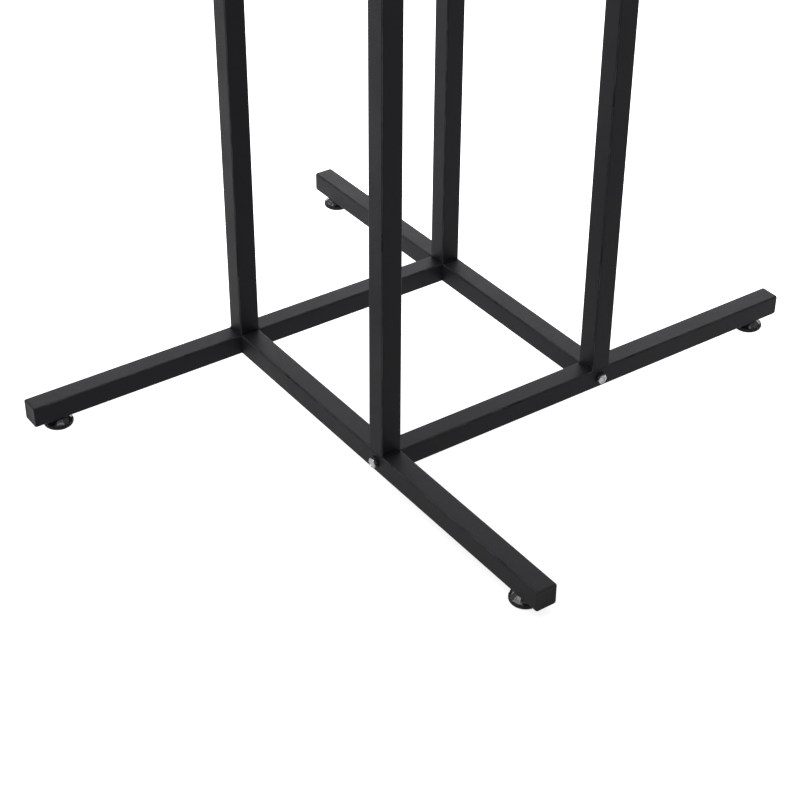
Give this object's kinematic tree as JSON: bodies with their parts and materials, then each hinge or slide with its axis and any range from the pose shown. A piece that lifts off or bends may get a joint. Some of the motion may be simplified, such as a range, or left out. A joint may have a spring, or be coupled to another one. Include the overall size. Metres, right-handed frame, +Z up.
{
  "type": "four way clothing rack",
  "caption": "Free-standing clothing rack of black square tube, with a bolted pinwheel base, levelling feet, uprights, a top tie frame and height-adjustable hanging arms.",
  "frame": {"origin": "on the floor, midway between the uprights", "axes": "+Z up; +X and +Y along the base tubes; the front arm points towards -Y"},
  "size_m": [1.0836, 1.0836, 1.2302],
  "materials": {
    "black_powder_coat": "satin black powder coat",
    "black_end_plug": "moulded matt black",
    "black_foot_plastic": "moulded black with a slight shine",
    "zinc_steel": "bright zinc plate",
    "black_washer": "black oxide"
  },
  "bodies": {
    "frame": {"base_tube_front": "black_powder_coat", "base_tube_right": "black_powder_coat", "base_tube_back": "black_powder_coat", "base_tube_left": "black_powder_coat", "upright_front": "black_powder_coat", "upright_right": "black_powder_coat", "upright_back": "black_powder_coat", "upright_left": "black_powder_coat", "leg_plug_front": "black_end_plug", "leg_plug_right": "black_end_plug", "leg_plug_back": "black_end_plug", "leg_plug_left": "black_end_plug", "sleeve_front": "black_powder_coat", "sleeve_right": "black_powder_coat", "sleeve_back": "black_powder_coat", "sleeve_left": "black_powder_coat", "tie_rails": "black_powder_coat", "bushings": "black_end_plug", "clamp_bosses": "black_powder_coat", "base_bolts": "zinc_steel", "base_washers": "black_washer", "base_inserts": "zinc_steel", "foot_nuts": "zinc_steel", "weld_beads": "black_powder_coat"},
    "hanging_arm_front": {"inner_post_front": "black_powder_coat", "post_shoe_front": "black_end_plug", "arm_front": "black_powder_coat", "arm_tip_front": "black_end_plug", "arm_plug_front": "black_end_plug"},
    "clamp_screw_front": {"clamp_screw_front": "zinc_steel"},
    "clamp_knob_front": {"clamp_knob_front": "black_foot_plastic"},
    "foot_stud_front": {"foot_stud_front": "zinc_steel"},
    "foot_base_front": {"foot_base_front": "black_foot_plastic"},
    "hanging_arm_right": {"inner_post_right": "black_powder_coat", "post_shoe_right": "black_end_plug", "arm_right": "black_powder_coat", "arm_tip_right": "black_end_plug", "arm_plug_right": "black_end_plug"},
    "clamp_screw_right": {"clamp_screw_right": "zinc_steel"},
    "clamp_knob_right": {"clamp_knob_right": "black_foot_plastic"},
    "foot_stud_right": {"foot_stud_right": "zinc_steel"},
    "foot_base_right": {"foot_base_right": "black_foot_plastic"},
    "hanging_arm_back": {"inner_post_back": "black_powder_coat", "post_shoe_back": "black_end_plug", "arm_back": "black_powder_coat", "arm_tip_back": "black_end_plug", "arm_plug_back": "black_end_plug"},
    "clamp_screw_back": {"clamp_screw_back": "zinc_steel"},
    "clamp_knob_back": {"clamp_knob_back": "black_foot_plastic"},
    "foot_stud_back": {"foot_stud_back": "zinc_steel"},
    "foot_base_back": {"foot_base_back": "black_foot_plastic"},
    "hanging_arm_left": {"inner_post_left": "black_powder_coat", "post_shoe_left": "black_end_plug", "arm_left": "black_powder_coat", "arm_tip_left": "black_end_plug", "arm_plug_left": "black_end_plug"},
    "clamp_screw_left": {"clamp_screw_left": "zinc_steel"},
    "clamp_knob_left": {"clamp_knob_left": "black_foot_plastic"},
    "foot_stud_left": {"foot_stud_left": "zinc_steel"},
    "foot_base_left": {"foot_base_left": "black_foot_plastic"}
  },
  "joints": [
    {"name": "arm_height_front", "type": "slide", "parent": "frame", "child": "hanging_arm_front", "axis": [0, 0, 1], "range_m": [0, 0.6096]},
    {"name": "clamp_travel_front", "type": "slide", "parent": "frame", "child": "clamp_screw_front", "axis": [-1, 0, 0], "range_m": [0, 0.00376]},
    {"name": "clamp_turn_front", "type": "hinge", "parent": "clamp_screw_front", "child": "clamp_knob_front", "pos_m": [-0.18815, -0.14815, 1.1658], "axis": [-1, 0, 0], "range_deg": [0, 1080]},
    {"name": "foot_travel_front", "type": "slide", "parent": "frame", "child": "foot_stud_front", "axis": [0, 0, -1], "range_m": [0, 0.01001]},
    {"name": "foot_turn_front", "type": "hinge", "parent": "foot_stud_front", "child": "foot_base_front", "pos_m": [-0.14815, -0.3984, 0.005], "axis": [0, 0, -1], "range_deg": [0, 2880]},
    {"name": "arm_height_right", "type": "slide", "parent": "frame", "child": "hanging_arm_right", "axis": [0, 0, 1], "range_m": [0, 0.6096]},
    {"name": "clamp_travel_right", "type": "slide", "parent": "frame", "child": "clamp_screw_right", "axis": [0, -1, 0], "range_m": [0, 0.00376]},
    {"name": "clamp_turn_right", "type": "hinge", "parent": "clamp_screw_right", "child": "clamp_knob_right", "pos_m": [0.14815, -0.18815, 1.1658], "axis": [0, -1, 0], "range_deg": [0, 1080]},
    {"name": "foot_travel_right", "type": "slide", "parent": "frame", "child": "foot_stud_right", "axis": [0, 0, -1], "range_m": [0, 0.01001]},
    {"name": "foot_turn_right", "type": "hinge", "parent": "foot_stud_right", "child": "foot_base_right", "pos_m": [0.3984, -0.14815, 0.005], "axis": [0, 0, -1], "range_deg": [0, 2880]},
    {"name": "arm_height_back", "type": "slide", "parent": "frame", "child": "hanging_arm_back", "axis": [0, 0, 1], "range_m": [0, 0.6096]},
    {"name": "clamp_travel_back", "type": "slide", "parent": "frame", "child": "clamp_screw_back", "axis": [1, 0, 0], "range_m": [0, 0.00376]},
    {"name": "clamp_turn_back", "type": "hinge", "parent": "clamp_screw_back", "child": "clamp_knob_back", "pos_m": [0.18815, 0.14815, 1.1658], "axis": [1, 0, 0], "range_deg": [0, 1080]},
    {"name": "foot_travel_back", "type": "slide", "parent": "frame", "child": "foot_stud_back", "axis": [0, 0, -1], "range_m": [0, 0.01001]},
    {"name": "foot_turn_back", "type": "hinge", "parent": "foot_stud_back", "child": "foot_base_back", "pos_m": [0.14815, 0.3984, 0.005], "axis": [0, 0, -1], "range_deg": [0, 2880]},
    {"name": "arm_height_left", "type": "slide", "parent": "frame", "child": "hanging_arm_left", "axis": [0, 0, 1], "range_m": [0, 0.6096]},
    {"name": "clamp_travel_left", "type": "slide", "parent": "frame", "child": "clamp_screw_left", "axis": [0, 1, 0], "range_m": [0, 0.00376]},
    {"name": "clamp_turn_left", "type": "hinge", "parent": "clamp_screw_left", "child": "clamp_knob_left", "pos_m": [-0.14815, 0.18815, 1.1658], "axis": [0, 1, 0], "range_deg": [0, 1080]},
    {"name": "foot_travel_left", "type": "slide", "parent": "frame", "child": "foot_stud_left", "axis": [0, 0, -1], "range_m": [0, 0.01001]},
    {"name": "foot_turn_left", "type": "hinge", "parent": "foot_stud_left", "child": "foot_base_left", "pos_m": [-0.3984, 0.14815, 0.005], "axis": [0, 0, -1], "range_deg": [0, 2880]}
  ],
  "couplings": [
    {"joint": "clamp_travel_front", "follows": "clamp_turn_front", "m_per_rad": 0.00019894},
    {"joint": "foot_travel_front", "follows": "foot_turn_front", "m_per_rad": 0.00019894},
    {"joint": "clamp_travel_right", "follows": "clamp_turn_right", "m_per_rad": 0.00019894},
    {"joint": "foot_travel_right", "follows": "foot_turn_right", "m_per_rad": 0.00019894},
    {"joint": "clamp_travel_back", "follows": "clamp_turn_back", "m_per_rad": 0.00019894},
    {"joint": "foot_travel_back", "follows": "foot_turn_back", "m_per_rad": 0.00019894},
    {"joint": "clamp_travel_left", "follows": "clamp_turn_left", "m_per_rad": 0.00019894},
    {"joint": "foot_travel_left", "follows": "foot_turn_left", "m_per_rad": 0.00019894}
  ]
}
